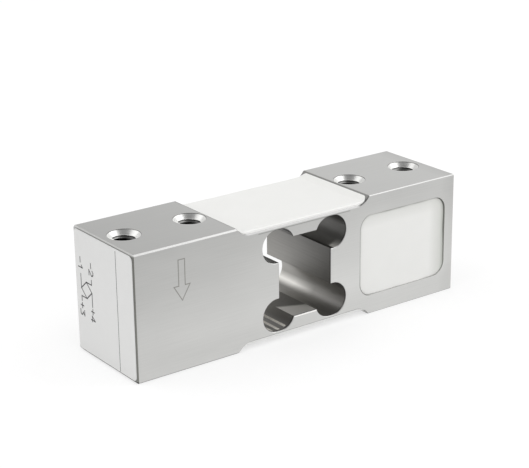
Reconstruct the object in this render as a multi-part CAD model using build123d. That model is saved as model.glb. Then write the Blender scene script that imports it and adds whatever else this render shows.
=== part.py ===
from build123d import *
import math
import os

# Single point load cell: a machined beam with a four-lobe flexure window. Lengths in millimetres.
# X runs along the beam from the load end to the fixed end, the pocket opens to -Y, Z is up.
# The origin is the middle of the bottom, on the plane that the beam is bolted down to.

# Beam body
block_length = 23.5
recess_length = 33.0
body_width = 22.0
body_height = 26.0
load_edge_chamfer = 0.3
fixed_edge_chamfer = 0.15
end_chamfer = 0.2

# Gauge recesses, top and bottom
recess_depth = 1.6
recess_arc_radius = 3.5
mouth_chamfer = 0.3
mouth_arc_radius = 4.0
mouth_overrun = 0.1

# Flexure window: four lobes joined by a rectangular opening. Each lobe is milled as a short slot.
lobe_radius = 3.5
lobe_travel = 0.9
flexure_thickness = 0.6
lobe_half_pitch = 6.6
lobe_overhang = 0.05
bridge_thickness = 2.85
window_deburr = 0.1

# Tapped holes, drawn at the thread's major diameter, countersunk at both ends
thread_radius = 2.5
countersink_radius = 3.4
hole_to_end = 4.8
hole_to_recess = 3.7

# Side pocket
pocket_to_lobe = 3.75
pocket_to_end = 2.5
pocket_to_face = 4.15
pocket_to_thread = 1.5
pocket_corner_radius = 3.0

# Wire passages and cable inlet
passage_radius = 0.9
passage_to_arc = 1.5
passage_run = 7.5
passage_angle = 42.5
inlet_radius = 2.3

# Potting
potting_thickness = 0.6
potting_end_gap = 0.12
potting_end_drop = 0.25
potting_arc_radius = 2.5
potting_edge_slope = 0.4
pocket_potting_drop = 0.25

# Foil strain gauges
gauge_length = 7.0
gauge_width = 5.0
carrier_thickness = 0.06
foil_thickness = 0.03
grid_length = 3.0
grid_width = 2.6
grid_slots = 6
slot_width = 0.14
tab_length = 1.1
tab_width = 1.0
tab_half_pitch = 0.8
tab_margin = 0.15
trace_width = 0.25

# Terminal strips
strip_length = 7.0
strip_width = 2.2
strip_offset = 5.2
strip_thickness = 0.15
pad_size = 1.3
pad_thickness = 0.04
pad_pitch = 2.3

# Wires
solder_gap = 0.02
jumper_radius = 0.08
jumper_spread = 0.3
lead_radius = 0.14
lead_pitch = 0.4
lead_bend = 0.6
lead_step = 0.9

# Compensation board and its chip resistors
board_margin = 2.2
board_thickness = 1.0
core_hole_radius = 0.45
core_hole_pitch = 2.6
core_hole_margin = 1.6
chip_length = 3.2
chip_width = 1.6
chip_thickness = 0.6
chip_cap = 0.45
chip_spacing_x = 6.0
chip_spacing_z = 5.2

# Cable grommet
grommet_bore_radius = 1.6
grommet_clearance = 0.02
grommet_lip = 0.6
grommet_lip_thickness = 0.8

# End label
label_margin = 0.4
label_thickness = 0.1
label_corner_radius = 1.0

# Derived sizes and places
overshoot = 1.0
body_length = 2 * block_length + recess_length
half_length = body_length / 2
half_width = body_width / 2
middle_height = body_height / 2
recess_half = recess_length / 2
recess_floor = body_height - recess_depth
lobe_height = recess_floor - flexure_thickness - lobe_radius - middle_height
window_length = 2 * (lobe_half_pitch - lobe_overhang)
window_height = body_height - 2 * (recess_depth + bridge_thickness)
hole_places = [
    side * x
    for side in (-1, 1)
    for x in (half_length - hole_to_end, recess_half + hole_to_recess)
]
pocket_left = lobe_half_pitch + lobe_travel / 2 + lobe_radius + pocket_to_lobe
pocket_right = half_length - pocket_to_end
pocket_length = pocket_right - pocket_left
pocket_middle = (pocket_left + pocket_right) / 2
pocket_height = body_height - 2 * pocket_to_face
pocket_depth = half_width - thread_radius - pocket_to_thread
pocket_floor = pocket_depth - half_width
cable_line = pocket_depth / 2 - half_width
board_face = pocket_floor - board_thickness
board_length = pocket_length - 2 * board_margin
board_height = pocket_height - 2 * board_margin
foil_top = recess_floor + carrier_thickness + foil_thickness
pad_top = recess_floor + strip_thickness + pad_thickness


def arc_run(depth, radius):
    """Length along X of an arc that leaves a floor tangentially and climbs by depth."""
    return math.sqrt(2 * radius * depth - depth**2)


recess_flat_end = recess_half - arc_run(recess_depth, recess_arc_radius)
passage_x = recess_flat_end - passage_to_arc
passage_slope = (
    math.sin(math.radians(passage_angle)),
    math.cos(math.radians(passage_angle)),
)


def mirrored(shape):
    """The same piece at the bottom of the beam."""
    return mirror(shape, about=Plane.XY.offset(middle_height))


def front_plane(depth):
    """Sketch plane parallel to the front face, depth behind it."""
    return Plane.XZ.offset(half_width - depth)


def recess_profile(depth, half, radius):
    """Side view of a recess: a flat floor that curves up at each end to the top face."""
    floor = body_height - depth
    flat_end = half - arc_run(depth, radius)
    half_turn = math.acos(1 - depth / radius) / 2
    arc_middle = (
        flat_end + radius * math.sin(half_turn),
        floor + radius * (1 - math.cos(half_turn)),
    )
    top = body_height + overshoot
    outline = [
        Line((-flat_end, floor), (flat_end, floor)),
        ThreePointArc((flat_end, floor), arc_middle, (half, body_height)),
        Line((half, body_height), (half, top)),
        Line((half, top), (-half, top)),
        Line((-half, top), (-half, body_height)),
        ThreePointArc((-half, body_height), (-arc_middle[0], arc_middle[1]), (-flat_end, floor)),
    ]
    return make_face(outline)


def flared_mouth(inner, outer, depth_outer, depth_inner):
    """Ruled cut between a wide profile near the front face and a narrow one behind it."""
    sections = [front_plane(depth_outer) * outer, front_plane(depth_inner) * inner]
    front = loft(sections, ruled=True)
    return front + mirror(front, about=Plane.XZ)


def recess_cut():
    """The top gauge recess, with its chamfered front and back mouths."""
    profile = recess_profile(recess_depth, recess_half, recess_arc_radius)
    mouth = recess_profile(recess_depth + mouth_chamfer, recess_half + mouth_overrun, mouth_arc_radius)
    channel = extrude(front_plane(0) * profile, amount=-body_width)
    return channel + flared_mouth(profile, mouth, 0, mouth_chamfer)


def window_profile(growth):
    """The window seen from the front: a rectangle with a slotted lobe at each corner."""
    opening = Rectangle(window_length + 2 * growth, window_height + 2 * growth)
    lobe = SlotCenterToCenter(lobe_travel, 2 * (lobe_radius + growth))
    for x in (-lobe_half_pitch, lobe_half_pitch):
        for z in (-lobe_height, lobe_height):
            opening += Pos(x, z) * lobe
    return Pos(0, middle_height) * opening


def window_cut():
    """The through window, with its edges deburred at the front and back."""
    profile = window_profile(0)
    opening = extrude(front_plane(0) * profile, amount=-body_width)
    return opening + flared_mouth(profile, window_profile(window_deburr), 0, window_deburr)


def tapped_hole(x):
    """A through hole with a 90 degree countersink at each end."""
    cone = countersink_radius - thread_radius
    wide = countersink_radius + overshoot
    section = Polyline(
        (0, -overshoot),
        (wide, -overshoot),
        (thread_radius, cone),
        (thread_radius, body_height - cone),
        (wide, body_height + overshoot),
        (0, body_height + overshoot),
        close=True,
    )
    return Pos(x, 0, 0) * revolve(Plane.XZ * make_face(section), axis=Axis.Z)


def pocket_outline():
    """Rounded rectangle of the side pocket, seen from the front."""
    outline = RectangleRounded(pocket_length, pocket_height, pocket_corner_radius)
    return Pos(pocket_middle, middle_height) * outline


def passage_point(run):
    """Point on the top passage's axis, run past the recess floor, as X and Z."""
    return (passage_x + run * passage_slope[0], recess_floor - run * passage_slope[1])


def wire_passage():
    """Slanted drilling from the recess floor into the pocket."""
    x, z = passage_point((passage_run - overshoot) / 2)
    drill = Cylinder(passage_radius, passage_run + overshoot)
    return Pos(x, cable_line, z) * Rot(0, -passage_angle, 0) * drill


def cable_inlet():
    """Bore from the end face of the fixed block into the pocket."""
    bore = Rot(0, 90, 0) * Cylinder(inlet_radius, pocket_to_end + 2 * overshoot)
    return Pos(half_length - pocket_to_end / 2, cable_line, middle_height) * bore


def half_bar(edge_chamfer):
    """Half of the bar towards +X, with its long edges and its end's edges broken."""
    bar = Box(half_length, body_width, body_height, align=(Align.MIN, Align.CENTER, Align.MIN))
    bar = chamfer(bar.edges().filter_by(Axis.X), edge_chamfer)
    return chamfer(bar.faces().sort_by(Axis.X)[-1].edges(), end_chamfer)


def beam_body():
    """The one-piece machined beam."""
    body = half_bar(fixed_edge_chamfer) + Rot(0, 0, 180) * half_bar(load_edge_chamfer)
    recess = recess_cut()
    passage = wire_passage()
    body -= [recess, mirrored(recess)]
    body -= window_cut()
    body -= [tapped_hole(x) for x in hole_places]
    body -= extrude(front_plane(0) * pocket_outline(), amount=-pocket_depth)
    body -= [passage, mirrored(passage), cable_inlet()]
    return body


def foil_grid():
    """Serpentine grid with its two traces and solder tabs, drawn for the load end gauge."""
    tab_x = gauge_length / 2 - tab_margin - tab_length / 2
    foil = Rectangle(grid_length, grid_width)
    line_pitch = grid_width / (grid_slots + 1)
    for slot in range(grid_slots):
        side = 1 if slot % 2 else -1
        y = (slot + 1) * line_pitch - grid_width / 2
        foil -= Pos(side * line_pitch, y) * Rectangle(grid_length, slot_width)
    for y in (-tab_half_pitch, tab_half_pitch):
        trace_y = math.copysign(grid_width / 2 - trace_width / 2, y)
        foil += Pos(tab_x / 2 + grid_length / 4, trace_y) * Rectangle(tab_x - grid_length / 2, trace_width)
        foil += Pos(tab_x, y) * Rectangle(tab_length, tab_width)
    return foil


def strain_gauge(side):
    """Foil gauge bonded over one thin flexure section, its tabs towards the middle."""
    carrier = extrude(RectangleRounded(gauge_length, gauge_width, 2 * tab_margin), amount=carrier_thickness)
    foil = Pos(0, 0, carrier_thickness) * extrude(foil_grid(), amount=foil_thickness)
    gauge = carrier + foil
    turn = 0 if side < 0 else 180
    return Pos(side * lobe_half_pitch, 0, recess_floor) * Rot(0, 0, turn) * gauge


def terminal_strip():
    """Thin strip with three solder pads, bonded to the recess floor beside the gauges."""
    strip = extrude(Rectangle(strip_length, strip_width), amount=strip_thickness)
    for x in (-pad_pitch, 0, pad_pitch):
        pad = extrude(Rectangle(pad_size, pad_size), amount=pad_thickness)
        strip += Pos(x, 0, strip_thickness) * pad
    return Pos(0, -strip_offset, recess_floor) * strip


def tube(points, radius, bend=None):
    """Round wire along straight runs, joined by arcs of the bend radius."""
    path = FilletPolyline(*points, radius=bend) if bend else Line(*points)
    section = Plane(origin=path @ 0, z_dir=path % 0) * Circle(radius)
    return sweep(section, path=path)


def jumper_wire(side, row):
    """Fine wire from one gauge tab to a pad of the strip: row -1 is the tab nearer the strip."""
    tab_x = lobe_half_pitch - gauge_length / 2 + tab_margin + tab_length / 2
    pad_x = pad_pitch if row < 0 else jumper_spread
    start = (side * tab_x, row * tab_half_pitch, foil_top + solder_gap + jumper_radius)
    end = (side * pad_x, pad_size / 4 - strip_offset, pad_top + solder_gap + jumper_radius)
    return tube([start, end], jumper_radius)


def lead_wire(number):
    """Lead from a pad of the strip, along the recess, down the passage and onto the board."""
    pad_x = (number - 1) * pad_pitch
    lane = cable_line + (number - 1) * lead_pitch
    height = pad_top + solder_gap + lead_radius
    bend_x = passage_x - (height - recess_floor) * passage_slope[0] / passage_slope[1]
    x, z = passage_point(passage_run + (2 - number) * lead_step)
    points = [
        (pad_x, -strip_offset, height),
        (pad_x, lane, height),
        (bend_x, lane, height),
        (x, lane, z),
        (x, board_face - solder_gap, z),
    ]
    return tube(points, lead_radius, lead_bend)


def gauge_potting(embedded):
    """Compound over the gauges: a thin slab that climbs the arcs at both ends."""
    slab_width = body_width - 2 * mouth_chamfer
    profile = recess_profile(recess_depth, recess_half, recess_arc_radius)
    slab = extrude(front_plane(mouth_chamfer) * profile, amount=-slab_width)
    air_depth = recess_depth - potting_thickness
    air_half = recess_half - potting_end_gap
    air = recess_profile(air_depth, air_half, potting_arc_radius)
    edge_air = recess_profile(air_depth + potting_edge_slope, air_half, potting_arc_radius)
    slab -= extrude(front_plane(0) * air, amount=-body_width)
    slab -= flared_mouth(air, edge_air, mouth_chamfer, mouth_chamfer + potting_edge_slope)
    top = Box(body_length, body_width, overshoot * 2, align=(Align.CENTER, Align.CENTER, Align.MIN))
    slab -= Pos(0, 0, body_height - potting_end_drop) * top
    return slab - embedded


def cord_space():
    """Room for the cord's jacket, which ends level with the inside of the grommet."""
    reach = pocket_to_end + grommet_lip_thickness
    return Pos(half_length, cable_line, middle_height) * Rot(0, 90, 0) * Cylinder(grommet_bore_radius, 2 * reach)


def pocket_potting(embedded):
    """Compound that fills the side pocket almost to the front face."""
    fill = pocket_depth - pocket_potting_drop
    block = extrude(front_plane(pocket_potting_drop) * pocket_outline(), amount=-fill)
    return block - embedded - cord_space()


def compensation_board():
    """Small board on the pocket floor, with four holes for the cores of the cord."""
    board = Rectangle(board_length, board_height)
    hole_x = board_length / 2 - core_hole_margin
    for row in range(4):
        board -= Pos(hole_x, (row - 1.5) * core_hole_pitch) * Circle(core_hole_radius)
    board = Pos(pocket_middle, middle_height) * board
    return extrude(front_plane(pocket_depth - board_thickness) * board, amount=-board_thickness)


def chip_resistor(column, row):
    """Chip resistor on the board: its end caps are thicker than its middle."""
    chip = extrude(Rectangle(chip_length, chip_width), amount=chip_thickness)
    relief = chip_length - 2 * chip_cap
    chip -= Pos(0, 0, chip_thickness) * Box(relief, chip_width, chip_thickness / 5)
    place = (pocket_middle + column * chip_spacing_x / 2, middle_height + row * chip_spacing_z / 2)
    return front_plane(pocket_depth - board_thickness) * Pos(place[0], place[1]) * chip


def cable_grommet():
    """Rubber bush in the cable inlet, with a lip behind the pocket wall."""
    outer = inlet_radius - grommet_clearance
    lip = inlet_radius + grommet_lip
    section = Polyline(
        (grommet_bore_radius, 0),
        (outer, 0),
        (outer, pocket_to_end + grommet_clearance),
        (lip, pocket_to_end + grommet_clearance),
        (lip, pocket_to_end + grommet_lip_thickness),
        (grommet_bore_radius, pocket_to_end + grommet_lip_thickness),
        close=True,
    )
    bush = revolve(Plane.XZ * make_face(section), axis=Axis.Z)
    return Pos(half_length, cable_line, middle_height) * Rot(0, -90, 0) * bush


def end_label():
    """Sticker on the end face of the load block."""
    height = body_height - 2 * label_margin
    width = body_width - 2 * label_margin
    sticker = extrude(RectangleRounded(height, width, label_corner_radius), amount=label_thickness)
    return Pos(-half_length, 0, middle_height) * Rot(0, -90, 0) * sticker


def gauge_circuit():
    """Everything bonded in the top recess, by name."""
    pieces = {
        "gauge_{}_load_end": strain_gauge(-1),
        "gauge_{}_fixed_end": strain_gauge(1),
        "terminal_strip_{}": terminal_strip(),
    }
    ends = [(-1, -1), (-1, 1), (1, 1), (1, -1)]
    for number, (side, row) in enumerate(ends, start=1):
        pieces["jumper_wire_{}_" + str(number)] = jumper_wire(side, row)
    for number in range(3):
        pieces["lead_wire_{}_" + str(number + 1)] = lead_wire(number)
    return pieces


def assemble():
    """Every piece of the load cell, by node name."""
    circuit = gauge_circuit()
    embedded = list(circuit.values())
    potting = gauge_potting(embedded)
    nodes = {"beam_body": beam_body(), "top_potting": potting, "bottom_potting": mirrored(potting)}
    for name, piece in circuit.items():
        nodes[name.format("top")] = piece
        nodes[name.format("bottom")] = mirrored(piece)
    inner = {
        "compensation_board": compensation_board(),
        "span_resistor": chip_resistor(-1, 1),
        "zero_resistor": chip_resistor(-1, -1),
        "input_resistor": chip_resistor(1, 1),
        "output_resistor": chip_resistor(1, -1),
        "cable_grommet": cable_grommet(),
    }
    leads = [piece for name, piece in nodes.items() if name.startswith("lead_wire")]
    nodes.update(inner)
    nodes["pocket_potting"] = pocket_potting(list(inner.values()) + leads)
    nodes["end_label"] = end_label()
    return nodes


os.makedirs("parts", exist_ok=True)
for node_name, node_shape in assemble().items():
    export_step(node_shape, f"parts/{node_name}.step")
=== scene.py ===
import bpy
import numpy as np
from mathutils import Matrix, Vector


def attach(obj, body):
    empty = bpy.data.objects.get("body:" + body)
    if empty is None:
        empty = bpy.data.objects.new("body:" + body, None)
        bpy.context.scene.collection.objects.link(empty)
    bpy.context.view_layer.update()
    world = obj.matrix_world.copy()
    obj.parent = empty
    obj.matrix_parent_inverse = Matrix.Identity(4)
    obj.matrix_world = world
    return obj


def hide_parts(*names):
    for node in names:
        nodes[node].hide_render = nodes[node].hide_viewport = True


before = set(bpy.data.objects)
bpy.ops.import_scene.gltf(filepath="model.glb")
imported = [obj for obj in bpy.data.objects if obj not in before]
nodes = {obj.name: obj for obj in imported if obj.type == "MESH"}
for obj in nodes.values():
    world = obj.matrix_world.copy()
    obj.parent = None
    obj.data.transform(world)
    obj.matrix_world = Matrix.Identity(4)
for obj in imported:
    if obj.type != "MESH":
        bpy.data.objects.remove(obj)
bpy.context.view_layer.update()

# Beam body: one bar of 6061 aluminium alloy, milled, drilled and tapped, then drawn along a
# belt so that its faces carry a fine grain from end to end. Every edge is broken by a small
# chamfer, whose colour is painted brighter than the faces as a highlight.


def reach(node):
    """Lowest and highest corner of a CAD node's mesh, in metres."""
    places = np.empty(len(node.data.vertices) * 3)
    node.data.vertices.foreach_get("co", places)
    places = places.reshape(-1, 3)
    return places.min(axis=0), places.max(axis=0)


def linear(code):
    """sRGB hex colour as linear RGBA.

    A channel c is c / 12.92 up to 0.04045, and ((c + 0.055) / 1.055) ** 2.4 above.
    """
    c = np.array([int(code[i : i + 2], 16) / 255 for i in (1, 3, 5)])
    value = np.where(c <= 0.04045, c / 12.92, ((c + 0.055) / 1.055) ** 2.4)
    return (*value.tolist(), 1.0)


def add_node(tree, kind, inputs=(), **settings):
    """Adds a shader node and gives its outputs.

    Inputs come in the node's own order, or in a dict by name or number. Each is a value, or an
    output to link.
    """
    node = tree.nodes.new("ShaderNode" + kind)
    for name, value in settings.items():
        setattr(node, name, value)
    for name, value in inputs.items() if isinstance(inputs, dict) else enumerate(inputs):
        if isinstance(value, bpy.types.NodeSocket):
            tree.links.new(value, node.inputs[name])
        else:
            node.inputs[name].default_value = value
    return node.outputs


def start_material(name):
    """An empty material, its node tree, and the object coordinates in metres."""
    material = bpy.data.materials.new(name)
    material.use_nodes = True
    tree = material.node_tree
    tree.nodes.clear()
    return material, tree, add_node(tree, "TexCoord")["Object"]


def close_material(tree, colour, roughness, height, depth, **constants):
    """Joins a pattern's colour, roughness and height, depth metres deep, to a Principled shader."""
    normal = add_node(tree, "Bump", {"Height": height, "Distance": depth, "Strength": 1.0})[0]
    inputs = {"Base Color": colour, "Roughness": roughness, "Normal": normal, **constants}
    add_node(tree, "OutputMaterial", {"Surface": add_node(tree, "BsdfPrincipled", inputs)[0]})


def wear(node, material):
    """Gives every face of a CAD node or a new piece this one material."""
    node.data.materials.clear()
    node.data.materials.append(material)


def stretched_noise(tree, place, cell, detail=4.0):
    """Noise whose cells have the given size in metres along X, Y and Z."""
    scale = [1 / size for size in cell]
    scaled = add_node(tree, "VectorMath", (place, scale), operation="MULTIPLY")[0]
    settings = {"Vector": scaled, "Scale": 1.0, "Detail": detail, "Roughness": 0.55}
    return add_node(tree, "TexNoise", settings)["Fac"]


def product(tree, *factors):
    """Several numbers or outputs multiplied together."""
    result = factors[0]
    for factor in factors[1:]:
        result = add_node(tree, "Math", (result, factor), operation="MULTIPLY")[0]
    return result


def total(tree, *parts):
    """Several numbers or outputs added together."""
    result = parts[0]
    for part in parts[1:]:
        result = add_node(tree, "Math", (result, part), operation="ADD")[0]
    return result


def distance(tree, value, middle=0.0):
    """How far a value lies from a middle one: abs(value - middle)."""
    gap = add_node(tree, "Math", (value, middle), operation="SUBTRACT")[0]
    return add_node(tree, "Math", [gap], operation="ABSOLUTE")[0]


def length(tree, *parts):
    """Length of a vector from its parts: sqrt(a ** 2 + b ** 2)."""
    squares = [product(tree, part, part) for part in parts]
    return add_node(tree, "Math", [total(tree, *squares)], operation="SQRT")[0]


def where(tree, *limits):
    """1 where every value is within its limits, and 0 elsewhere.

    A limit is (value, low, high), met where abs(value - (low + high) / 2) <= (high - low) / 2.
    """
    shares = []
    for value, low, high in limits:
        span = (value, (low + high) / 2, (high - low) / 2)
        shares.append(add_node(tree, "Math", span, operation="COMPARE")[0])
    return product(tree, *shares)


def paint(tree, colour, *layers):
    """Lays colours over a first one. A layer is a share from 0 to 1 and a hex code or output."""
    for share, over in layers:
        first, second = (linear(code) if isinstance(code, str) else code for code in (colour, over))
        colour = add_node(tree, "Mix", {0: share, 6: first, 7: second}, data_type="RGBA")[2]
    return colour


half_length, half_width, body_height = reach(nodes["beam_body"])[1]
middle_height = body_height / 2

# The grain is belt scratches of about 0.05 mm, drawn 0.25 mm wide so that it shows at all. In
# the window it gives way to the cutter's feed marks, about 0.1 mm apart and drawn at 0.5 mm.
# Both break up the metal's reflections, so that it looks satin and not polished.
grain_cell = (0.012, 0.00025, 0.00025)
grain_depth = 0.0000012
cloud_cell = (0.018, 0.009, 0.009)
feed_cell = (0.0005, 0.02, 0.0005)
noise_spread = (0.3, 0.7)
narrow_spread = (0.35, 0.65)
aluminium, tree, place = start_material("machined_aluminium_6061")
grain = stretched_noise(tree, place, grain_cell)
cloud = stretched_noise(tree, place, cloud_cell, 2.0)
feed = stretched_noise(tree, place, feed_cell)
texture = product(tree, total(tree, grain, cloud), 0.5)
x_place, y_place, z_place = add_node(tree, "SeparateXYZ", [place])
normal = add_node(tree, "NewGeometry")["True Normal"]
x_lean, y_lean, z_lean = (
    distance(tree, part) for part in add_node(tree, "SeparateXYZ", [normal])
)
from_middle = distance(tree, x_place)
from_centre = distance(tree, z_place, middle_height)

# No value here comes near 2, so as a limit it leaves that side open. A lean is how far a
# face's normal points along one axis, from 0 to 1
open_end = 2.0
square_on = (0.9, open_end)
edge_on = (-open_end, 0.4)
skin_depth = 0.0005
front_skin = (-open_end, skin_depth - half_width)

# Faces: the grain and a slow cloud, under painted light and shade: lighter towards the fixed end
# and on the front and back, darker over the fixed end's last few millimetres and low down
face_light = "#DADAD8"
face_dark = "#C8C8C6"
texture_gain = 0.4
lengthwise_painted_light = (-0.1, 0.42)
side_painted_light = 0.14
end_run = (0.036, 0.039)
end_painted_shade = -0.4
base_run = (0.0035, 0.0075)
base_painted_shade = -0.5
base_reach = (-0.02, 0.02)
base_shares = (0.4, 1.0)
shade_near_base = add_node(tree, "MapRange", (z_place, *base_run, base_painted_shade, 0.0))[0]
share = total(
    tree,
    add_node(tree, "MapRange", (texture, *narrow_spread, 0.0, texture_gain))[0],
    add_node(tree, "MapRange", (x_place, -half_length, half_length / 2, *lengthwise_painted_light))[0],
    product(tree, y_lean, side_painted_light),
    add_node(tree, "MapRange", (x_place, *end_run, 0.0, end_painted_shade))[0],
    product(tree, shade_near_base, add_node(tree, "MapRange", (x_place, *base_reach, *base_shares))[0]),
)
face = paint(tree, face_dark, (share, face_light))

# Window: its milled walls see little but each other, so they get painted shade, most of all high
# up and towards the front
window_half_length = 0.0108
window_half_height = 0.0111
window_lit = "#AFADA9"
window_shaded = "#8B8A88"
wall_run = (0.004, 0.022)
feed_gains = (-0.1, 0.1)
front_painted_shade = 0.5
in_window = where(
    tree,
    (from_middle, -open_end, window_half_length),
    (from_centre, -open_end, window_half_height),
    (y_lean, *edge_on),
)
share = total(
    tree,
    add_node(tree, "MapRange", (z_place, *wall_run))[0],
    add_node(tree, "MapRange", (feed, *noise_spread, *feed_gains))[0],
    add_node(tree, "MapRange", (y_place, -half_width, half_width, front_painted_shade, 0.0))[0],
)
wall = paint(tree, window_lit, (share, window_shaded))

# Window floor: painted light near the front, painted shadow behind a slanting border, and a
# painted highlight on its front edge
window_floor = 0.00445
floor_margin = 0.0001
floor_turn = 0.45
floor_shadow_border = (-0.0067, -0.0057)
lip_height = 0.00024
lip_half_length = 0.0037
floor_lit = "#FAF8F4"
floor_shadowed = "#8F8D89"
painted_highlight = "#FFFDF8"
on_floor = where(
    tree,
    (z_place, window_floor - floor_margin, window_floor + floor_margin),
    (z_lean, *square_on),
)
on_floor = product(tree, in_window, on_floor)
slant = total(tree, y_place, product(tree, x_place, floor_turn))
share = add_node(tree, "MapRange", (slant, *floor_shadow_border))[0]
floor_light_and_shadow = paint(tree, floor_lit, (share, floor_shadowed))
on_lip_highlight = where(
    tree,
    (z_place, window_floor - lip_height, window_floor),
    (y_lean, *square_on),
    (from_middle, -open_end, lip_half_length),
)

# Lobes: bored, with a long painted glint and a painted light sill on the right, and on the left a
# roof of painted shade and two tracks that the cutter's corner burnished, drawn as painted highlight
lobe_middle = (0.00705, 0.0057)
lobe_top = 0.0092
glint_tilt = np.radians(40)
glint_half_width = 0.0016
glint_start = -0.001
glint_share = 0.9
sill_low = 0.01682
sill_run = (0.0169, 0.0179)
sill_front = (-0.0094, -0.0086)
sill_shares = (0.75, 0.2)
roof_low = 0.0222
window_shade_dark = "#303030"
rim_share = 0.4
track_middle = -0.0063
track_pitch = 0.00175
track_edges = (-0.2, 0.5)
track_top = 0.00265
track_front = 0.0008
off_lobe = [
    add_node(tree, "Math", pair, operation="SUBTRACT")[0]
    for pair in zip((x_place, z_place), lobe_middle)
]
off_glint = total(
    tree,
    product(tree, off_lobe[0], np.sin(glint_tilt)),
    product(tree, off_lobe[1], np.cos(glint_tilt)),
)
off_glint = distance(tree, off_glint)
on_glint = product(
    tree,
    in_window,
    add_node(tree, "MapRange", (off_glint, 0.0, glint_half_width, 1.0, 0.0))[0],
    add_node(tree, "MapRange", (y_place, glint_start, half_width / 2))[0],
    where(tree, (off_lobe[0], 0.0, open_end), (z_place, -open_end, lobe_top)),
)
on_lit_sill = product(
    tree,
    in_window,
    where(tree, (x_place, 0.0, open_end), (z_place, sill_low, open_end)),
    add_node(tree, "MapRange", (z_place, *sill_run, 1.0, 0.0))[0],
    add_node(tree, "MapRange", (y_place, *sill_front, *sill_shares))[0],
)
on_roof_shade = where(tree, (x_place, -open_end, 0.0), (z_place, roof_low, open_end))
on_roof_shade = product(tree, in_window, on_roof_shade)
off_track = add_node(tree, "Math", (x_place, track_middle), operation="SUBTRACT")[0]
turn = product(tree, off_track, 2 * np.pi / track_pitch)
wave = add_node(tree, "Math", [turn], operation="COSINE")[0]
on_track = product(
    tree,
    in_window,
    add_node(tree, "MapRange", (wave, *track_edges))[0],
    where(
        tree,
        (x_place, -open_end, 0.0),
        (z_place, -open_end, track_top),
        (y_place, track_front - half_width, open_end),
    ),
)
# Painted shade: a dark line along the window's surfaces where they meet the front face
on_window_rim_shade = product(tree, in_window, where(tree, (y_place, *front_skin)))

# Edges: the chamfers get a painted highlight, brighter than the faces. Painted shade goes on the
# chamfers at the foot and at the recesses' mouths, on the recesses' end walls and their brinks,
# and in a fine line under each recess
chamfer_leans = (0.5, 0.9)
border_width = 0.0004
recess_level = 0.0114
mouth_level = 0.0108
seam_reach = (0.0150, 0.0166)
seam_lean = 0.3
recess_half_length = 0.0165
brink_run = 0.0004
brink_share = 0.5
shade_line_heights = (0.02375, 0.02395)
shade_line_half_length = 0.0115
shade_line_share = 0.45
chamfer_highlight = "#CACAC9"
sole_shade = "#8A8A88"
mouth_shade = "#B5B5B4"
seam_shade = "#828280"
border_shade = "#7E7E7A"
on_chamfer = where(tree, (y_lean, *chamfer_leans))
on_sole = product(tree, on_chamfer, where(tree, (z_place, -open_end, border_width)))
on_mouth = where(
    tree,
    (from_middle, -open_end, seam_reach[1]),
    (from_centre, mouth_level, open_end),
)
on_mouth = product(tree, on_chamfer, on_mouth)
on_seam = where(
    tree,
    (from_middle, *seam_reach),
    (from_centre, recess_level, open_end),
    (x_lean, seam_lean, open_end),
    (y_lean, *edge_on),
)
brink_end = recess_half_length + brink_run
on_brink = product(
    tree,
    add_node(tree, "MapRange", (from_middle, recess_half_length, brink_end, brink_share, 0.0))[0],
    where(tree, (from_middle, recess_half_length, open_end), (z_lean, *square_on)),
)
on_seam = add_node(tree, "Math", (on_seam, on_brink), operation="MAXIMUM")[0]
on_shade_line = where(
    tree,
    (z_place, *shade_line_heights),
    (y_lean, *square_on),
    (from_middle, -open_end, shade_line_half_length),
)

# Gap: painted shade, a dark hair line on the metal along the left of the side pocket's potting
pocket_corner = 0.003
gap_half_width = 0.00009
gap_run = (0.007, 0.011)
gap_shares = (0.8, 0.45)
pocket_low, pocket_high = reach(nodes["pocket_potting"])
pocket_middle = (pocket_high + pocket_low)[[0, 2]] / 2
straight_half = (pocket_high - pocket_low)[[0, 2]] / 2 - pocket_corner
past_straight = []
for part, middle, straight in zip((x_place, z_place), pocket_middle, straight_half):
    past = (distance(tree, part, middle), straight)
    past = add_node(tree, "Math", past, operation="SUBTRACT")[0]
    past_straight.append(add_node(tree, "Math", (past, 0.0), operation="MAXIMUM")[0])
off_corner = length(tree, *past_straight)
turn_end = pocket_low[0] + pocket_corner
on_gap_shade = product(
    tree,
    where(
        tree,
        (off_corner, pocket_corner, pocket_corner + 2 * gap_half_width),
        (y_place, *front_skin),
        (y_lean, *square_on),
    ),
    add_node(tree, "MapRange", (x_place, turn_end - pocket_corner / 2, turn_end, 1.0, 0.0))[0],
    add_node(tree, "MapRange", (z_place, *gap_run, *gap_shares))[0],
)

# End face: the narrow border left bare round the label gets painted shade, darkest at the foot,
# and the painted chamfer highlight at its top and back
end_lean = 0.5
border_back = (0.0088, 0.0104)
foot_shade = "#2C2C2A"
on_border = where(
    tree,
    (x_place, -open_end, border_width - half_length),
    (x_lean, end_lean, open_end),
)
border = paint(
    tree,
    border_shade,
    (where(tree, (z_place, -open_end, border_width)), foot_shade),
    (add_node(tree, "MapRange", (y_place, *border_back))[0], chamfer_highlight),
    (
        add_node(tree, "MapRange", (z_place, body_height - border_width, body_height))[0],
        chamfer_highlight,
    ),
)

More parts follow.
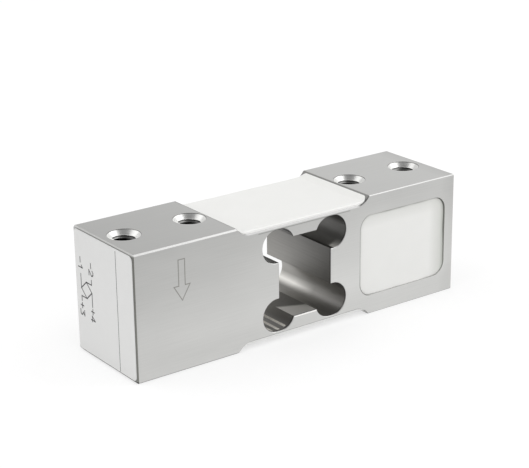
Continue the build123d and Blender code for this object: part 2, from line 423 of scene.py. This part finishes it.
# All of them together. The window's feed marks are rougher than the grain, and so is its floor
face_roughness = (0.28, 0.34)
window_roughness = 0.12
track_roughness = 0.5
colour = paint(
    tree,
    face,
    (in_window, wall),
    (on_roof_shade, window_shade_dark),
    (on_floor, floor_light_and_shadow),
    (product(tree, on_window_rim_shade, rim_share), window_shade_dark),
    (on_lit_sill, painted_highlight),
    (product(tree, on_glint, glint_share), painted_highlight),
    (on_track, painted_highlight),
    (on_lip_highlight, painted_highlight),
    (product(tree, on_shade_line, shade_line_share), border_shade),
    (on_chamfer, chamfer_highlight),
    (on_sole, sole_shade),
    (on_mouth, mouth_shade),
    (on_seam, seam_shade),
    (on_gap_shade, border_shade),
    (on_border, border),
)
roughness = total(
    tree,
    add_node(tree, "MapRange", (texture, *noise_spread, *face_roughness))[0],
    product(tree, total(tree, on_floor, in_window), window_roughness),
    product(tree, total(tree, on_track, on_lit_sill), track_roughness),
)
marks = paint(tree, grain, (in_window, feed))
close_material(tree, colour, roughness, marks, grain_depth, Metallic=1.0)
wear(nodes["beam_body"], aluminium)

# Threads: M5 x 0.8, tapped right through each end block and countersunk at both ends. The
# countersink is turned, so its marks run round the hole and it catches the light on two sides.
hole_middle = 0.0277
hole_half_pitch = 0.0075
core_radius = 0.0021
root_radius = 0.00248
thread_pitch = 0.0008
mouth_radius = 0.003385
liner_radius = 0.00256
liner_wall = 0.000075
end_gap = 0.000005
wave_sharpness = 0.95
thread_sharp = 70.0
rows_per_pitch = 12
turn_columns = 96
cone_margin = 0.00003
rim_depth = 0.0001
shade_depths = (0.0010, 0.0016)
ring_cell = (0.004, 0.004, 0.00012)
ring_depth = 0.000001
cone_light = "#F6F6F4"
cone_dark = "#EFEFED"
cone_roughness = (0.3, 0.36)
rim_shade = "#8C8C8A"
crest_light = "#D8D8D6"
root_shade = "#0C0C0C"


def add_piece(name, material, points, faces, sharp=30.0):
    """Mesh object from points and faces, turned outwards and ridden on the beam.

    A closed mesh has the volume sum of a . (b x c) / 6 over its triangles, and where that comes
    out negative its faces look inwards and are all turned round.
    """
    first, second, third = (points[faces[:, i]] for i in range(3))
    volume = np.einsum("ij,ij->", first, np.cross(second, third))
    if faces.shape[1] == 4:
        volume += np.einsum("ij,ij->", first, np.cross(third, points[faces[:, 3]]))
    if volume < 0:
        faces = faces[:, ::-1]
    mesh = bpy.data.meshes.new(name)
    mesh.from_pydata(points.tolist(), [], faces.tolist())
    mesh.shade_smooth()
    mesh.set_sharp_from_angle(angle=np.radians(sharp))
    piece = bpy.data.objects.new(name, mesh)
    bpy.context.scene.collection.objects.link(piece)
    wear(piece, material)
    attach(piece, "root")
    return piece


def grid_faces(rows, columns, close_rows):
    """Quads of a grid whose columns run round a loop, and whose rows may do so as well.

    Row i and column j have the corners (i, j), (i, j + 1), (i + 1, j + 1) and (i + 1, j).
    """
    row = np.arange(rows if close_rows else rows - 1)[:, None]
    column = np.arange(columns)[None, :]
    next_row = (row + 1) % rows
    next_column = (column + 1) % columns
    corners = [row * columns + column, row * columns + next_column]
    corners += [next_row * columns + next_column, next_row * columns + column]
    return np.stack(corners, axis=-1).reshape(-1, 4)


def thread_liner(x):
    """Wall of one tapped hole, as a loop of heights round the axis at x.

    Inside, the radius is the middle of core and root + half their difference * a V wave, which is
    arcsin(k cos(turn)) / arcsin(k) with the turn 2 pi height / pitch - angle, and is at least the
    countersink's mouth radius - depth. Outside, a plain wall lies hidden in the metal.
    """
    rows = round((body_height - 2 * end_gap) / thread_pitch * rows_per_pitch)
    height = np.linspace(end_gap, body_height - end_gap, rows)
    angle = np.arange(turn_columns) * 2 * np.pi / turn_columns
    turn = 2 * np.pi * height[:, None] / thread_pitch - angle[None, :]
    wave = np.arcsin(wave_sharpness * np.cos(turn)) / np.arcsin(wave_sharpness)
    inside = (root_radius + core_radius + (root_radius - core_radius) * wave) / 2
    depth = np.minimum(height, body_height - height)
    inside = np.maximum(inside, (mouth_radius - depth)[:, None])
    neck = mouth_radius + liner_wall - liner_radius
    outer_height = np.array([body_height - end_gap, body_height - neck, neck, end_gap])
    outer_depth = np.minimum(outer_height, body_height - outer_height)
    outside = np.maximum(liner_radius, mouth_radius + liner_wall - outer_depth)
    radius = np.concatenate([inside, outside[:, None] + 0 * angle])
    level = np.concatenate([height, outer_height])[:, None] + 0 * angle
    points = np.stack([x + radius * np.cos(angle), radius * np.sin(angle), level], axis=-1)
    return points.reshape(-1, 3), grid_faces(len(level), turn_columns, True)


# The cone's turning rings, 0.12 mm apart, spread its highlight into a bow. Painted shade darkens
# the cone's rim and the thread roots, and fades the threads to black as they go deeper
turned, tree, place = start_material("turned_and_tapped_aluminium_6061")
x_place, y_place, z_place = add_node(tree, "SeparateXYZ", [place])
depth = (middle_height, distance(tree, z_place, middle_height))
depth = add_node(tree, "Math", depth, operation="SUBTRACT")[0]
from_pair = distance(tree, distance(tree, x_place), hole_middle)
radius = length(tree, distance(tree, from_pair, hole_half_pitch), y_place)
on_cone = (total(tree, radius, depth), mouth_radius - cone_margin, mouth_radius + cone_margin)
rings = stretched_noise(tree, place, ring_cell)
cone = paint(
    tree,
    cone_dark,
    (add_node(tree, "MapRange", (rings, *narrow_spread))[0], cone_light),
    (where(tree, (depth, -open_end, rim_depth)), rim_shade),
)
flank = paint(
    tree,
    crest_light,
    (add_node(tree, "MapRange", (radius, core_radius, root_radius))[0], root_shade),
    (add_node(tree, "MapRange", (depth, *shade_depths))[0], root_shade),
)
colour = paint(tree, flank, (where(tree, on_cone), cone))
roughness = add_node(tree, "MapRange", (rings, *noise_spread, *cone_roughness))[0]
close_material(tree, colour, roughness, rings, ring_depth, Metallic=1.0)
steps = (hole_half_pitch, -hole_half_pitch)
hole_places = [side * (hole_middle + step) for side in (-1, 1) for step in steps]
for number, x in enumerate(hole_places, start=1):
    points, faces = thread_liner(x)
    add_piece("tapped_thread_" + str(number), turned, points, faces, thread_sharp)

# Load arrow: the outline of an arrow engraved by laser on the front of the load block, which
# shows the direction of the load. The burnt line is matt and a shade darker than the face.
arrow_middle = -0.02948
shaft_half = 0.00073
shaft_top = 0.0229
head_half = 0.00182
head_top = 0.01763
arrow_tip = 0.01463
engraved_width = 0.0002
engraved_proud = 0.000012
engraved_root = 0.00002


def mottled_material(name, dark, light, cell, roughness, depth, **constants):
    """Material of one finish in two near tones, in cells of one size that also set its sheen."""
    material, tree, place = start_material(name)
    mottle = stretched_noise(tree, place, (cell, cell, cell))
    colour = paint(tree, dark, (mottle, light))
    sheen = add_node(tree, "MapRange", (mottle, *noise_spread, *roughness))[0]
    close_material(tree, colour, sheen, mottle, depth, **constants)
    return material


def closed_ribbon(outline, width, low, high):
    """Flat line of one width along a closed outline, from depth low to depth high.

    At each corner both borders lie on the mitre, the sum of the two neighbouring normals over
    1 + their dot product, half the width to each side.
    """
    ahead = np.roll(outline, -1, axis=0) - outline
    ahead /= np.linalg.norm(ahead, axis=1)[:, None]
    after = np.stack([-ahead[:, 1], ahead[:, 0]], axis=-1)
    before = np.roll(after, 1, axis=0)
    mitre = (after + before) / (1 + np.sum(after * before, axis=1))[:, None] * width / 2
    borders = [outline - mitre, outline + mitre]
    loops = [(borders[0], low), (borders[0], high), (borders[1], high), (borders[1], low)]
    rows = [np.column_stack([border, np.full(len(outline), depth)]) for border, depth in loops]
    return np.concatenate(rows), grid_faces(4, len(outline), True)


def on_front(points):
    """Puts a flat piece on the front face: across along X, up along Z, its height outwards."""
    return np.stack([points[:, 0], -half_width - points[:, 2], points[:, 1]], axis=-1)


burnt = mottled_material(
    "laser_engraved_aluminium_6061",
    "#9B9A96",
    "#ABAAA6",
    cell=0.0003,
    roughness=(0.45, 0.6),
    depth=0.000003,
    Metallic=1.0,
)
arrow_outline = np.array(
    [
        (arrow_middle - shaft_half, shaft_top),
        (arrow_middle - shaft_half, head_top),
        (arrow_middle - head_half, head_top),
        (arrow_middle, arrow_tip),
        (arrow_middle + head_half, head_top),
        (arrow_middle + shaft_half, head_top),
        (arrow_middle + shaft_half, shaft_top),
    ]
)
points, faces = closed_ribbon(arrow_outline, engraved_width, -engraved_root, engraved_proud)
add_piece("load_arrow", burnt, on_front(points), faces)

# Label: a sticker of white polyester film on the load end. Its print is a black ruled line and
# a bridge circuit, with a plain number and sign at each of the circuit's four leads.
print_proud = 0.00001
print_root = 0.00002
rule_width = 0.00014
rule_place = -0.00478
rule_ends = (0.0006, 0.0251)
circuit_width = 0.00023
bridge_middle = np.array([0.00673, 0.01364])
bridge_half = np.array([0.002, 0.0017])
lead_reach = 0.0029
jog_reach = 0.0010
sign_size = 0.0015
sign_gap = 0.0005
digit_strokes = {
    "1": [[(0.1, 0.75), (0.4, 1.0), (0.4, 0.0)]],
    "2": [[(0.0, 0.8), (0.2, 1.0), (0.5, 1.0), (0.7, 0.8), (0.7, 0.6), (0.0, 0.0), (0.7, 0.0)]],
    "3": [[(0.0, 1.0), (0.7, 1.0), (0.3, 0.6), (0.7, 0.4), (0.7, 0.15), (0.5, 0.0), (0.0, 0.0)]],
    "4": [[(0.55, 0.0), (0.55, 1.0), (0.0, 0.3), (0.75, 0.3)]],
    "+": [[(0.0, 0.5), (0.7, 0.5)], [(0.35, 0.15), (0.35, 0.85)]],
    "-": [[(0.0, 0.5), (0.7, 0.5)]],
}
label_face = reach(nodes["end_label"])[0][0]


def strokes(path):
    """The straight stretches between the points of one path."""
    return list(zip(path[:-1], path[1:]))


def signs(text, start):
    """Strokes of plain numbers and signs that read downwards from start, their tops towards -Y."""
    found = []
    for place, sign in enumerate(text):
        for path in digit_strokes[sign]:
            found += strokes([start - sign_size * np.array([up, along + place]) for along, up in path])
    return found


def bars(lines, width, low, high):
    """One mesh of thin bars. Each has square ends half its width past the line's two points."""
    ends = np.array(lines)
    ahead = ends[:, 1] - ends[:, 0]
    ahead *= width / 2 / np.linalg.norm(ahead, axis=1)[:, None]
    aside = np.stack([-ahead[:, 1], ahead[:, 0]], axis=-1)
    start, end = ends[:, 0] - ahead, ends[:, 1] + ahead
    flat = np.stack([start - aside, end - aside, end + aside, start + aside], axis=1)
    levels = [np.dstack([flat, np.full(flat.shape[:2], level)]) for level in (low, high)]
    plate = [(0, 1, 2, 3), (4, 7, 6, 5), (0, 4, 5, 1), (1, 5, 6, 2), (2, 6, 7, 3), (3, 7, 4, 0)]
    faces = np.arange(len(ends))[:, None, None] * 8 + np.array(plate)
    return np.concatenate(levels, axis=1).reshape(-1, 3), faces.reshape(-1, 4)


def on_label(points):
    """Puts flat print on the label: across along Y, up along Z, its height outwards."""
    return np.stack([label_face - points[:, 2], points[:, 0], points[:, 1]], axis=-1)


# The film is half matt, so it stays evenly pale, and the ink is a shade duller than the film
film = mottled_material(
    "white_polyester_film", "#DEDEDD", "#E4E4E3", cell=0.004, roughness=(0.38, 0.5), depth=0.00001
)
wear(nodes["end_label"], film)
ink = mottled_material(
    "black_screen_ink", "#2C2C2E", "#3C3C3E", cell=0.0004, roughness=(0.4, 0.55), depth=0.000002
)
ways = [(1, 0), (0, 1), (-1, 0), (0, -1)]
far, top, near, low = (bridge_middle + bridge_half * way for way in ways)
leads = [
    [far, far + (0, lead_reach)],
    [top, (near[0], top[1]), (near[0], top[1] + jog_reach)],
    [low, (far[0], low[1]), (far[0], low[1] - jog_reach)],
    [near, near - (0, lead_reach)],
]
circuit = strokes([far, top, near, low, far])
for number, (lead, way) in enumerate(zip(leads, (1, 1, -1, -1)), start=1):
    circuit += strokes(lead)
    run = 2 * sign_size if way > 0 else 0
    start = np.array(lead[-1]) + (sign_size / 2, way * sign_gap + run)
    circuit += signs(("-" if way > 0 else "+") + str(number), start)
rule = [((rule_place, rule_ends[0]), (rule_place, rule_ends[1]))]
points, faces = bars(circuit, circuit_width, -print_root, print_proud)
add_piece("label_circuit", ink, on_label(points), faces)
points, faces = bars(rule, rule_width, -print_root, print_proud)
add_piece("label_rule", ink, on_label(points), faces)

# Gauge potting: two-part silicone, white, poured over the gauges in the top and the bottom
# recess, level from side to side. It climbs the arc at each end and rolls over at front and back.
potting_thickness = 0.0006
recess_arc = 0.0035
potting_arc = 0.0025
edge_roll_run = 0.0005
edge_roll_drop = 0.0003
plan_corner = 0.0013
edge_clear = 0.00002
end_land = 0.00006
sink = 0.00001
swell_height = 0.00002
swell_turns = (420, 560)
swell_starts = (1, 2)
across_steps = 96
along_steps = 160
mouth_chamfer = 0.0003
potting_half = half_width - mouth_chamfer
potting_low, potting_high = reach(nodes["top_potting"])
recess_floor = potting_low[2]
potting_end = potting_high[0]


def arc_climb(along, flat, radius):
    """Height of an arc over its floor: radius - sqrt(radius ** 2 - past ** 2), past the flat end."""
    past = np.clip(np.abs(along) - flat, 0, radius)
    return radius - np.sqrt(radius**2 - past**2)


def arc_flat(height, radius, end):
    """Where an arc starts that has climbed by height at the end: end - sqrt(2 r h - h ** 2)."""
    return end - np.sqrt(2 * radius * height - height**2)


def potting_surface():
    """Skin of the top potting, as loops round it along the beam.

    Its underside follows the recess. Its top is the floor + thickness + arc, never over the ends'
    height, less a quarter ellipse near the front and back, with a faint swell of sine waves. In
    plan the ends are narrowed by a quarter circle, corner * (1 - sqrt(1 - past ** 2)).
    """
    top_height = potting_high[2] - recess_floor
    along = np.linspace(-1, 1, along_steps + 1)
    along = potting_end * np.sin(along * np.pi / 2)
    half = potting_half - edge_clear
    across = half * np.sin(np.linspace(-1, 1, across_steps + 1) * np.pi / 2)
    under = arc_climb(along, arc_flat(top_height, recess_arc, potting_end), recess_arc)
    over_flat = arc_flat(top_height - potting_thickness, potting_arc, potting_end - end_land)
    over = potting_thickness + arc_climb(along, over_flat, potting_arc)
    over = np.maximum(np.minimum(over, top_height), under)
    near_edge = np.clip((np.abs(across) - half + edge_roll_run) / edge_roll_run, 0, 1)
    roll = edge_roll_drop * (1 - np.sqrt(1 - near_edge**2))
    wave = np.sin(along[:, None] * swell_turns[0] + swell_starts[0])
    wave = wave * np.sin(across[None, :] * swell_turns[1] + swell_starts[1])
    room = np.minimum(1, (over - under) / potting_thickness)[:, None]
    top = over[:, None] + room * (swell_height * wave - roll[None, :])
    base = np.broadcast_to(under[:, None] - sink, top.shape)
    height = recess_floor + np.concatenate([top, base[:, ::-1]], axis=1)
    past = np.clip((np.abs(along) - potting_end) / plan_corner + 1, 0, 1)
    narrow = 1 - plan_corner * (1 - np.sqrt(1 - past**2)) / half
    side = np.concatenate([across, across[::-1]])[None, :] * narrow[:, None]
    points = np.stack([along[:, None] + 0 * side, side, height], axis=-1)
    return points.reshape(-1, 3)


def zipped_faces(rows, columns):
    """Quads of loops whose second half lies under the first, with the two end loops zipped shut."""
    sides = grid_faces(rows, columns, False)
    step = np.arange(columns // 2 - 1)
    cap = np.stack([step, step + 1, columns - 2 - step, columns - 1 - step], axis=-1)
    return np.concatenate([sides, cap[:, ::-1], cap + (rows - 1) * columns])


# Cured silicone is satin. Painted light makes its rolled edge lighter
potting_roughness = (0.36, 0.46)
potting_swell_depth = 0.00003
swell_cell = 0.006
silicone, tree, place = start_material("white_silicone_potting")
swell = stretched_noise(tree, place, (swell_cell, swell_cell, swell_cell))
from_side = distance(tree, add_node(tree, "SeparateXYZ", [place])[1])
edge_span = (potting_half - edge_roll_run / 2, potting_half - edge_roll_run / 5)
edge_painted_light = add_node(tree, "MapRange", (from_side, *edge_span))[0]
colour = paint(tree, "#EDEDEA", (swell, "#F2F2F0"), (edge_painted_light, "#F5F5F3"))
roughness = add_node(tree, "MapRange", (swell, *noise_spread, *potting_roughness))[0]
close_material(tree, colour, roughness, swell, potting_swell_depth)
points = potting_surface()
faces = zipped_faces(along_steps + 1, 2 * across_steps + 2)
upper = add_piece("top_potting_skin", silicone, points, faces)
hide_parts("top_potting")
points = points * (1, 1, -1) + (0, 0, body_height)
lower = add_piece("bottom_potting_skin", silicone, points, faces)
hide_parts("bottom_potting")

# Pocket potting: the same compound in a slightly greyer batch, poured into the side pocket over
# the board. It shrinks as it cures, so its rim is uneven.
pocket_clear = 0.00001
rim_drop = 0.00032
rim_run = 0.00045
rim_mean = 0.42
rim_leans = (-0.1, 0.62)
rim_waves = [(7, 1, 0.1), (13, 0, 0.08)]
groove_depth = 0.00012
groove_run = 0.0001
groove_shares = (0.6, 0.4)
ring_columns = 240
ring_rows = 48
ring_crowding = 2.2
centre_share = 0.02
halvings = 40
pocket_half = (pocket_high - pocket_low)[[0, 2]] / 2 - pocket_clear


def edge_distance(points, half, corner):
    """Distance from points inside a rounded rectangle to its outline, negative outside."""
    past = np.abs(points) - half + corner
    return corner - np.linalg.norm(np.maximum(past, 0), axis=-1) - np.minimum(past.max(axis=-1), 0)


def rounded_outline(half, corner, count):
    """Points round a rounded rectangle: rays from its middle, each stopped at the outline.

    Along a ray the distance to the outline is found by halving, as the outline is where
    length(max(q, 0)) = corner with q = abs(point) - half + corner.
    """
    angle = np.arange(count) * 2 * np.pi / count
    angle = np.arctan2(half[1] * np.sin(angle), half[0] * np.cos(angle))
    ray = np.stack([np.cos(angle), np.sin(angle)], axis=-1)
    near, far = np.zeros(count), np.full(count, half.sum())
    for _ in range(halvings):
        middle = (near + far) / 2
        inside = edge_distance(ray * middle[:, None], half, corner) > 0
        near, far = np.where(inside, middle, near), np.where(inside, far, middle)
    return ray * near[:, None]


def pocket_surface():
    """Skin of the pocket potting, as rings shrunk towards its middle, and its straight side.

    The front lies at the CAD front + drop * exp(-distance to rim / run), where the drop varies
    round the rim as a sum of sines, from most at the top to a slight rise at the bottom. A
    second, short exponential of the same kind draws the fine groove along the metal.
    """
    outline = rounded_outline(pocket_half, pocket_corner, ring_columns)
    share = 1 - (1 - centre_share) * np.linspace(0, 1, ring_rows) ** ring_crowding
    rings = outline[None, :, :] * share[:, None, None]
    around = np.arctan2(outline[:, 1], outline[:, 0])
    uneven = rim_mean + rim_leans[0] * np.cos(around) + rim_leans[1] * np.sin(around)
    for turns, start, size in rim_waves:
        uneven += size * np.sin(turns * around + start)
    groove = groove_depth * (groove_shares[0] + groove_shares[1] * np.sin(around))
    gap = np.maximum(edge_distance(rings, pocket_half, pocket_corner), 0)
    front = pocket_low[1] + rim_drop * uneven * np.exp(-gap / rim_run)
    front += groove * np.exp(-gap / groove_run)
    levels = np.concatenate([np.full((1, ring_columns), pocket_high[1]), front])
    flat = np.concatenate([outline[None], rings]) + pocket_middle
    return np.stack([flat[..., 0], levels, flat[..., 1]], axis=-1).reshape(-1, 3)


# Painted shade greys this satin batch at its right, along the top, and in the groove
filler_cell = 0.007
groove_shade_depths = (0.0001, 0.0003)
shade_run = 0.0042
right_edge_shade_run = 0.0011
brow_depths = (0.003, 0.001)
brow_share = 0.38
shade_grey = "#D0D1CC"
filler, tree, place = start_material("off_white_silicone_potting")
swell = stretched_noise(tree, place, (filler_cell, filler_cell, filler_cell))
x_place, y_place, z_place = add_node(tree, "SeparateXYZ", [place])
right, top = pocket_high[0], pocket_high[2]
brow_span = (top - depth for depth in brow_depths)
groove_span = (pocket_low[1] + depth for depth in groove_shade_depths)
colour = paint(
    tree,
    "#ECECE9",
    (swell, "#F1F1EF"),
    (add_node(tree, "MapRange", (x_place, right - shade_run, right))[0], shade_grey),
    (add_node(tree, "MapRange", (x_place, right - right_edge_shade_run, right))[0], "#BFC2BC"),
    (add_node(tree, "MapRange", (z_place, *brow_span, 0.0, brow_share))[0], shade_grey),
    (add_node(tree, "MapRange", (y_place, *groove_span))[0], "#9C9D97"),
)
roughness = add_node(tree, "MapRange", (swell, *noise_spread, *potting_roughness))[0]
close_material(tree, colour, roughness, swell, potting_swell_depth)
points = pocket_surface()
faces = zipped_faces(ring_rows + 1, ring_columns)
filling = add_piece("pocket_potting_skin", filler, points, faces)
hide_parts("pocket_potting")

# Strain gauges: constantan foil, etched to a grid on amber polyimide, bonded in both recesses
# under the potting. The foil stands above the carrier, so its height tells the two apart. The
# film is dull and the foil has a soft metal sheen.
carrier_thickness = 0.00006
carrier_margin = 0.000006
gauge_cell = 0.0008
gauge_depth = 0.000003
gauge_roughness = (0.45, 0.3)
recess_reach = recess_floor - middle_height


def two_part_material(name, axis, middles, start, under, over, cell, roughness, depth):
    """Material of a flat base and the finer parts on it, told apart by a distance.

    The distance is along one axis from each middle in turn, abs(abs(x - a) - b), and the parts
    begin where it passes start. Under and over are pairs of near tones.
    """
    material, tree, place = start_material(name)
    off_base = add_node(tree, "SeparateXYZ", [place])[axis]
    for middle in middles:
        off_base = distance(tree, off_base, middle)
    on_part = where(tree, (off_base, start, open_end))
    mottle = stretched_noise(tree, place, (cell, cell, cell))
    base, part = (paint(tree, dark, (mottle, light)) for dark, light in (under, over))
    sheen = add_node(tree, "MapRange", (on_part, 0.0, 1.0, *roughness))[0]
    close_material(tree, paint(tree, base, (on_part, part)), sheen, mottle, depth)
    return material


gauge_film = two_part_material(
    "polyimide_carrier_with_constantan_foil",
    axis=2,
    middles=[middle_height],
    start=recess_reach + carrier_thickness + carrier_margin,
    under=("#B57A22", "#C98F35"),
    over=("#A89F93", "#BDB5AA"),
    cell=gauge_cell,
    roughness=gauge_roughness,
    depth=gauge_depth,
)

# Terminal strips: thin glass laminate with three pads of tinned copper on each. The laminate is
# dull straw yellow, and the tin is bright
strip_thickness = 0.00015
strip_margin = 0.0000075
terminal = two_part_material(
    "tinned_pads_on_glass_laminate",
    axis=2,
    middles=[middle_height],
    start=recess_reach + strip_thickness + strip_margin,
    under=("#A9A06A", "#BDB47F"),
    over=("#C2C0BC", "#D4D2CE"),
    cell=0.0005,
    roughness=(0.5, 0.25),
    depth=0.000004,
)

# Jumper wires: enamelled copper, whose lacquer makes it a darker red than bare wire, and glossy.
# Each runs from a gauge's tab to its pad
copper = mottled_material(
    "enamelled_copper_wire",
    "#9C4A24",
    "#B45C30",
    cell=0.0006,
    roughness=(0.2, 0.32),
    depth=0.000002,
    Metallic=1.0,
)

# Lead wires: stranded copper in thin PTFE insulation, three colours from each strip. It is
# extruded, which leaves it smooth with a waxy gloss
lead_colours = {"1": ("red", "#A81C1A", "#BC2A26"), "2": ("white", "#E2E1DC", "#EBEAE6")}
lead_colours["3"] = ("black", "#1C1C1D", "#28282A")
for number, (name, dark, light) in lead_colours.items():
    name += "_ptfe_insulation"
    sleeve = mottled_material(
        name, dark, light, cell=0.0012, roughness=(0.3, 0.42), depth=0.000004
    )
    for side in ("top", "bottom"):
        wear(nodes["lead_wire_{}_{}".format(side, number)], sleeve)
for side in ("top", "bottom"):
    wear(nodes["gauge_" + side + "_load_end"], gauge_film)
    wear(nodes["gauge_" + side + "_fixed_end"], gauge_film)
    wear(nodes["terminal_strip_" + side], terminal)
    for number in range(1, 5):
        wear(nodes["jumper_wire_{}_{}".format(side, number)], copper)

# Compensation board: green solder mask over woven glass laminate, at the back of the pocket.
# The weave, about 0.6 mm from yarn to yarn, shows through the mask as a ripple in its gloss
weave_cell = (0.0006, 0.01, 0.0006)
weave_depth = 0.00001
board_roughness = (0.28, 0.4)
board, tree, place = start_material("green_solder_mask_on_glass_laminate")
weave = stretched_noise(tree, place, weave_cell)
share = add_node(tree, "MapRange", (weave, *narrow_spread))[0]
colour = paint(tree, "#12532C", (share, "#1D6A3A"))
roughness = add_node(tree, "MapRange", (weave, *noise_spread, *board_roughness))[0]
close_material(tree, colour, roughness, weave, weave_depth)
wear(nodes["compensation_board"], board)

# Chip resistors: black ceramic bodies with tinned end caps, soldered flat on the board. The
# bodies are matt and the caps bright
cap_share = 0.72
chip_low, chip_high = reach(nodes["span_resistor"])
chip_offset = pocket_middle[0] - (chip_low[0] + chip_high[0]) / 2
chip = two_part_material(
    "black_ceramic_with_tinned_caps",
    axis=0,
    middles=[pocket_middle[0], chip_offset],
    start=(chip_high[0] - chip_low[0]) / 2 * cap_share,
    under=("#1B1B1D", "#29292B"),
    over=("#BDBBB7", "#D0CECA"),
    cell=0.0004,
    roughness=(0.55, 0.3),
    depth=0.000004,
)
for name in ("span", "zero", "input", "output"):
    wear(nodes[name + "_resistor"], chip)

# Cable grommet: a moulded bush of black nitrile rubber, pushed into the inlet from inside. It is
# matt, with hardly any sheen
rubber = mottled_material(
    "black_nitrile_rubber", "#1A1A1B", "#262627", cell=0.0009, roughness=(0.5, 0.65), depth=0.00001
)
wear(nodes["cable_grommet"], rubber)

# Studio: a floor of pale paper, a white surround and four soft lamps, as for a photograph that
# sells a part. The floor keeps the beam's faint shadow
floor_half = 4.0
floor_mesh = bpy.data.meshes.new("studio_floor")
corners = [(-1, -1), (1, -1), (1, 1), (-1, 1)]
floor_mesh.from_pydata([(x * floor_half, y * floor_half, 0) for x, y in corners], [], [(0, 1, 2, 3)])
floor = bpy.data.objects.new("studio_floor", floor_mesh)
bpy.context.scene.collection.objects.link(floor)


def background_rays(tree):
    """1 on rays straight from the camera, and 1 on those that metal or glass sends on."""
    rays = add_node(tree, "LightPath")
    passed_on = (rays["Is Glossy Ray"], rays["Is Transmission Ray"])
    return rays["Is Camera Ray"], add_node(tree, "Math", passed_on, operation="MAXIMUM")[0]


# To the camera the paper is white. Metal shows it white for the first few centimetres from the
# beam's sides and greyer from there on, which gives the faces their soft gradient
lit_band = (0.028, 0.078)
band_turn = 0.12
camera_white = 1.25
mirrored_whites = (1.03, 0.64)
glow_shares = (0.5, 0.9)
fibre_cell = 0.002
paper, tree, place = start_material("white_background_paper")
fibre = stretched_noise(tree, place, (fibre_cell, fibre_cell, fibre_cell))
pulp = paint(tree, "#E6E6E6", (fibre, "#EAEAEA"))
straight, passed_on = background_rays(tree)
x_place, y_place = add_node(tree, "SeparateXYZ", [place])[:2]
off_beam = (distance(tree, y_place), product(tree, x_place, band_turn))
off_beam = add_node(tree, "Math", off_beam, operation="SUBTRACT")[0]
fall = add_node(tree, "MapRange", (off_beam, *lit_band, *mirrored_whites))[0]
strength = total(tree, product(tree, straight, camera_white), product(tree, passed_on, fall))
glow_parts = [product(tree, *pair) for pair in zip((straight, passed_on), glow_shares)]
share = total(tree, *glow_parts)
matt = add_node(tree, "BsdfDiffuse", {"Color": pulp})[0]
glow = add_node(tree, "Emission", {"Strength": strength})[0]
both = add_node(tree, "MixShader", (share, matt, glow))[0]
add_node(tree, "OutputMaterial", {"Surface": both})
wear(floor, paper)

# The surround is white to the camera. In metal it is white at the horizon and grey overhead, and
# a little darker to the left. To matt surfaces it is an even light
horizon_white = 1.03
zenith_grey = 0.24
sideways_run = (0.35, 0.75)
sideways_gains = (-0.08, 0.1)
even_light = 0.75
world = bpy.data.worlds.new("studio")
bpy.context.scene.world = world
world.use_nodes = True
tree = world.node_tree
tree.nodes.clear()
straight, passed_on = background_rays(tree)
way = add_node(tree, "SeparateXYZ", [add_node(tree, "TexCoord")["Generated"]])
fall = total(
    tree,
    add_node(tree, "MapRange", (way[2], 0.0, 1.0, horizon_white, zenith_grey))[0],
    add_node(tree, "MapRange", (way[0], *sideways_run, *sideways_gains))[0],
)
mirrored = (straight, product(tree, passed_on, fall))
mirrored = add_node(tree, "Math", mirrored, operation="MAXIMUM")[0]
seen = add_node(tree, "Math", (straight, passed_on), operation="MAXIMUM")[0]
other = add_node(tree, "Math", (1.0, seen), operation="SUBTRACT")[0]
strength = total(tree, mirrored, product(tree, other, even_light))
sky = add_node(tree, "Background", {"Color": (1.0, 1.0, 1.0, 1.0), "Strength": strength})[0]
add_node(tree, "OutputWorld", {"Surface": sky})

# Each lamp is a square sheet of light that faces the middle of the beam: place, width, power
lamps = {
    "right_softbox": ((0.58, -0.25, 0.63), 0.65, 1.7),
    "back_softbox": ((-0.41, 0.49, 0.63), 0.6, 0.9),
    "left_softbox": ((-0.8, -0.1, 0.4), 0.6, 1.0),
    "front_softbox": ((0.1, -0.85, 0.35), 0.6, 0.9),
}
for name, (lamp_place, width, power) in lamps.items():
    data = bpy.data.lights.new(name, "AREA")
    data.size = width
    data.energy = power
    lamp = bpy.data.objects.new(name, data)
    lamp.location = lamp_place
    way = Vector((0, 0, middle_height)) - Vector(lamp_place)
    lamp.rotation_euler = way.to_track_quat("-Z", "Y").to_euler()
    bpy.context.scene.collection.objects.link(lamp)

# Camera: the photograph's viewpoint, 0.32 m from the beam's middle with a long lens. Its turn is
# given as azimuth, elevation and roll, and its frame is X right, Y up and Z back
camera_place = (-0.178035, -0.241022, 0.125724)
azimuth, elevation, roll = np.radians([-36.141, 19.721, -0.716])
right = np.array([np.cos(azimuth), np.sin(azimuth), 0])
back = np.array([0, 0, np.sin(elevation)])
back[:2] = np.cos(elevation) * np.array([np.sin(azimuth), -np.cos(azimuth)])
up = np.cross(back, right)
pose = np.eye(4)
pose[:3, 0] = np.cos(roll) * right + np.sin(roll) * up
pose[:3, 1] = np.cos(roll) * up - np.sin(roll) * right
pose[:3, 2] = back
pose[:3, 3] = camera_place
lens = bpy.data.cameras.new("camera")
lens.lens = 105.868
lens.sensor_width = 36.0
lens.clip_start = 0.01
camera = bpy.data.objects.new("camera", lens)
camera.matrix_world = Matrix(pose.tolist())
bpy.context.scene.collection.objects.link(camera)
bpy.context.scene.camera = camera
bpy.context.scene.view_settings.view_transform = "Standard"
